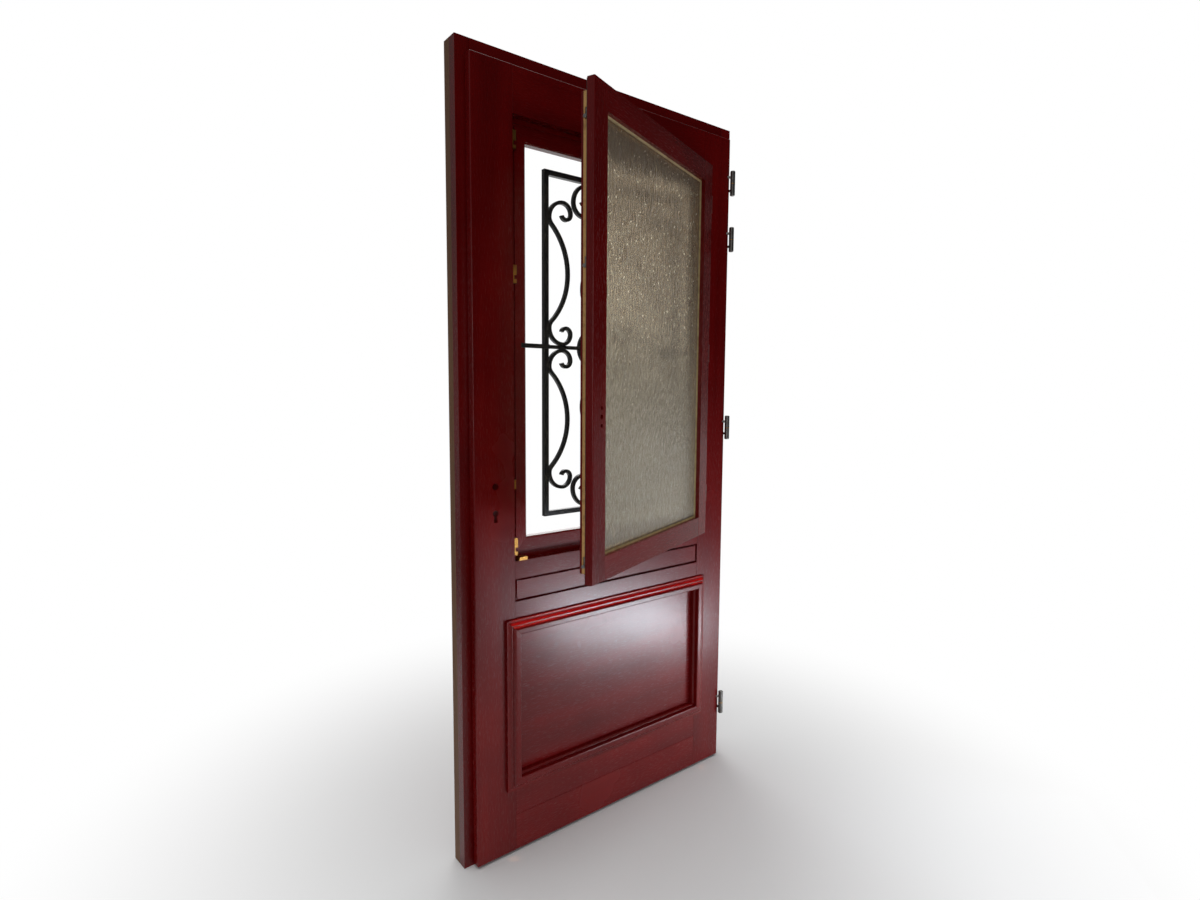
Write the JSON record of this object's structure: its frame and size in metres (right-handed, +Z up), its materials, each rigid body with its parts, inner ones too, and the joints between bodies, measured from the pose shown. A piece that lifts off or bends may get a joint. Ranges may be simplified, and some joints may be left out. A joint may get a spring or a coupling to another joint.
{
  "type": "glazed front door",
  "caption": "Panelled wooden entrance door in its frame, with an opening glazed casement over a scrolled iron grille and a bolection-moulded lower panel.",
  "frame": {"origin": "middle of the underside of the threshold", "axes": "+X from the lock side to the hinge side as seen from inside, +Y from the room to the outside, +Z up"},
  "size_m": [0.996, 0.3815, 2.15],
  "materials": {
    "stained_wood": "satin",
    "mill_aluminium": "satin",
    "seal_rubber": "matte",
    "plated_steel": "satin",
    "yellow_brass": "satin",
    "black_iron": "satin",
    "textured_glass": "rippled",
    "clear_glass": "polished",
    "gold_aluminium": "satin"
  },
  "bodies": {
    "frame": {"lock_jamb": "stained_wood", "hinge_jamb": "stained_wood", "head_jamb": "stained_wood", "threshold": "mill_aluminium", "stop_laths": "stained_wood", "frame_seal": "seal_rubber", "strike_plate": "plated_steel", "strike_screws": "plated_steel", "frame_hinge_halves": "plated_steel", "hinge_washers": "yellow_brass"},
    "leaf": {"lock_stile": "stained_wood", "hinge_stile": "stained_wood", "top_rail": "stained_wood", "sill_rail": "stained_wood", "strip_panel": "stained_wood", "panel_rail": "stained_wood", "bottom_rail": "stained_wood", "kick_board": "stained_wood", "lower_panel": "stained_wood", "inside_moulding_top": "stained_wood", "inside_moulding_right": "stained_wood", "inside_moulding_bottom": "stained_wood", "inside_moulding_left": "stained_wood", "outside_moulding_top": "stained_wood", "outside_moulding_right": "stained_wood", "outside_moulding_bottom": "stained_wood", "outside_moulding_left": "stained_wood", "stop_top": "stained_wood", "stop_right": "stained_wood", "stop_bottom": "stained_wood", "stop_left": "stained_wood", "weather_board": "stained_wood", "leaf_hinge_halves": "plated_steel", "lock_case": "plated_steel", "lock_faceplate": "yellow_brass", "faceplate_screws": "plated_steel", "grille": "black_iron", "grille_screws": "black_iron", "casement_keeps": "yellow_brass", "closing_wedge": "yellow_brass", "corner_keep": "yellow_brass", "casement_hinge_pins": "plated_steel"},
    "casement": {"casement_free_stile": "stained_wood", "casement_hinge_stile": "stained_wood", "casement_top_rail": "stained_wood", "casement_bottom_rail": "stained_wood", "inner_pane": "textured_glass", "outer_pane": "clear_glass", "spacer_bar": "gold_aluminium", "glazing_beads": "stained_wood", "casement_seal": "seal_rubber", "espagnolette_plate": "yellow_brass", "gear_case": "plated_steel", "casement_hinge_halves": "plated_steel"},
    "handle_hub": {"handle_follower": "plated_steel"},
    "locking_bar": {"locking_rod": "plated_steel", "locking_cams": "plated_steel"},
    "lever_hub": {"lever_follower": "plated_steel"},
    "latch": {"latch_bolt": "yellow_brass"},
    "deadlock": {"dead_bolt": "yellow_brass"}
  },
  "joints": [
    {"name": "leaf_swing", "type": "hinge", "parent": "frame", "child": "leaf", "pos_m": [0.477, -0.064, 1], "axis": [0, 0, 1], "range_deg": [0, 105]},
    {"name": "casement_swing", "type": "hinge", "parent": "leaf", "child": "casement", "pos_m": [0.368, -0.068, 1.4], "axis": [0, 0, 1], "range_deg": [-21.1, 84]},
    {"name": "handle_turn", "type": "hinge", "parent": "casement", "child": "handle_hub", "pos_m": [-0.28158, -0.29293, 1.228], "axis": [-0.36, 0.933, 0], "range_deg": [0, 90]},
    {"name": "locking_bar_slide", "type": "slide", "parent": "casement", "child": "locking_bar", "axis": [0, 0, 1], "range_m": [0, 0.018]},
    {"name": "lever_turn", "type": "hinge", "parent": "leaf", "child": "lever_hub", "pos_m": [-0.409, -0.016, 1.038], "axis": [0, 1, 0], "range_deg": [0, 40]},
    {"name": "latch_slide", "type": "slide", "parent": "leaf", "child": "latch", "axis": [-1, 0, 0], "range_m": [0, 0.012]},
    {"name": "dead_bolt_slide", "type": "slide", "parent": "leaf", "child": "deadlock", "axis": [-1, 0, 0], "range_m": [0, 0.02]}
  ],
  "couplings": [
    {"joint": "handle_turn", "follows": "locking_bar_slide", "rad_per_m": 87.26},
    {"joint": "lever_turn", "follows": "latch_slide", "rad_per_m": 58.17}
  ]
}
